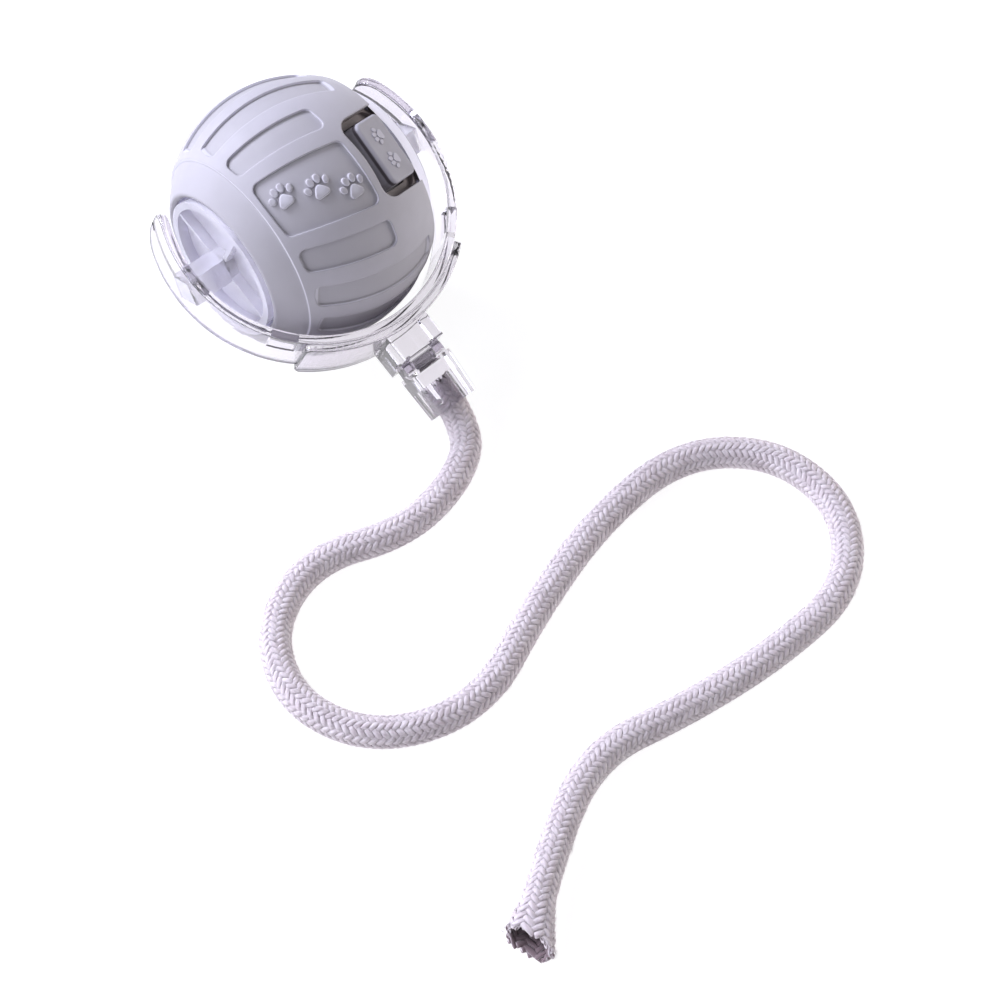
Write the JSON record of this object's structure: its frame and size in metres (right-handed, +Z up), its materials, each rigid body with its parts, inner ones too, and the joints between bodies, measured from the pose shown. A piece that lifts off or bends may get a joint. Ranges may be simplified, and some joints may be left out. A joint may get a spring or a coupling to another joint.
{
  "type": "self rolling cat ball",
  "caption": "Motor driven silicone ball in a clear yoke that drags a braided rope tail, a cat toy with paw prints and a power key.",
  "frame": {"origin": "on the floor, under the centre of the ball", "axes": "+Z up, X along the ball's spin axis with the power key's side at +X, the tail leaves toward -Y"},
  "size_m": [0.0965, 0.1422, 0.045],
  "materials": {
    "silicone": "matte silicone with a soft sheen",
    "key_silicone": "matte silicone, a shade darker",
    "shell_plastic": "moulded plastic",
    "clear_plastic": "clear moulded plastic",
    "steel": "turned steel",
    "motor_steel": "plated steel can",
    "port_steel": "plated steel sheet",
    "black_plastic": "black plastic",
    "battery_film": "blue shrink film",
    "board_green": "lacquered circuit board",
    "led_lens": "cast lens",
    "gear_plastic": "white acetal",
    "cotton_rope": "braided cotton"
  },
  "bodies": {
    "ball": {"sleeve": "silicone", "shell_near": "shell_plastic", "shell_far": "shell_plastic", "shell_screws": "steel", "axle_bushes": "gear_plastic", "chassis": "shell_plastic", "battery": "battery_film", "main_board": "board_green", "usb_c_socket": "port_steel", "tact_switch": "black_plastic", "switch_board": "board_green", "status_led": "led_lens", "motor": "motor_steel", "gear_pin": "steel"},
    "tail_ring": {"yoke": "clear_plastic", "hub_near": "clear_plastic", "hub_far": "clear_plastic", "main_axle": "gear_plastic", "output_gear": "gear_plastic", "tail_bracket": "clear_plastic", "hinge_pin": "clear_plastic"},
    "tail": {"tail_holder": "clear_plastic", "tail_rope": "cotton_rope"},
    "key": {"power_key": "key_silicone", "switch_plunger": "black_plastic"},
    "idler": {"compound_gear": "gear_plastic"},
    "rotor": {"motor_pinion": "gear_plastic"}
  },
  "joints": [
    {"name": "ring_spin", "type": "hinge", "parent": "ball", "child": "tail_ring", "pos_m": [0, 0, 0.0225], "axis": [1, 0, 0], "continuous": true},
    {"name": "tail_hinge", "type": "hinge", "parent": "tail_ring", "child": "tail", "pos_m": [0, -0.02953, 0.00966], "axis": [1, 0, 0], "range_deg": [-28, 20]},
    {"name": "key_push", "type": "slide", "parent": "ball", "child": "key", "axis": [-0.4848, 0.4635, -0.7417], "range_m": [0, 0.0006], "stiffness_N_per_m": 1500},
    {"name": "idler_spin", "type": "hinge", "parent": "ball", "child": "idler", "pos_m": [0.006, 0.008, 0.01719], "axis": [1, 0, 0], "continuous": true},
    {"name": "motor_spin", "type": "hinge", "parent": "ball", "child": "rotor", "pos_m": [0.006, 0, 0.01719], "axis": [1, 0, 0], "continuous": true}
  ],
  "couplings": [
    {"joint": "idler_spin", "follows": "ring_spin", "ratio": -3},
    {"joint": "motor_spin", "follows": "ring_spin", "ratio": 9}
  ]
}
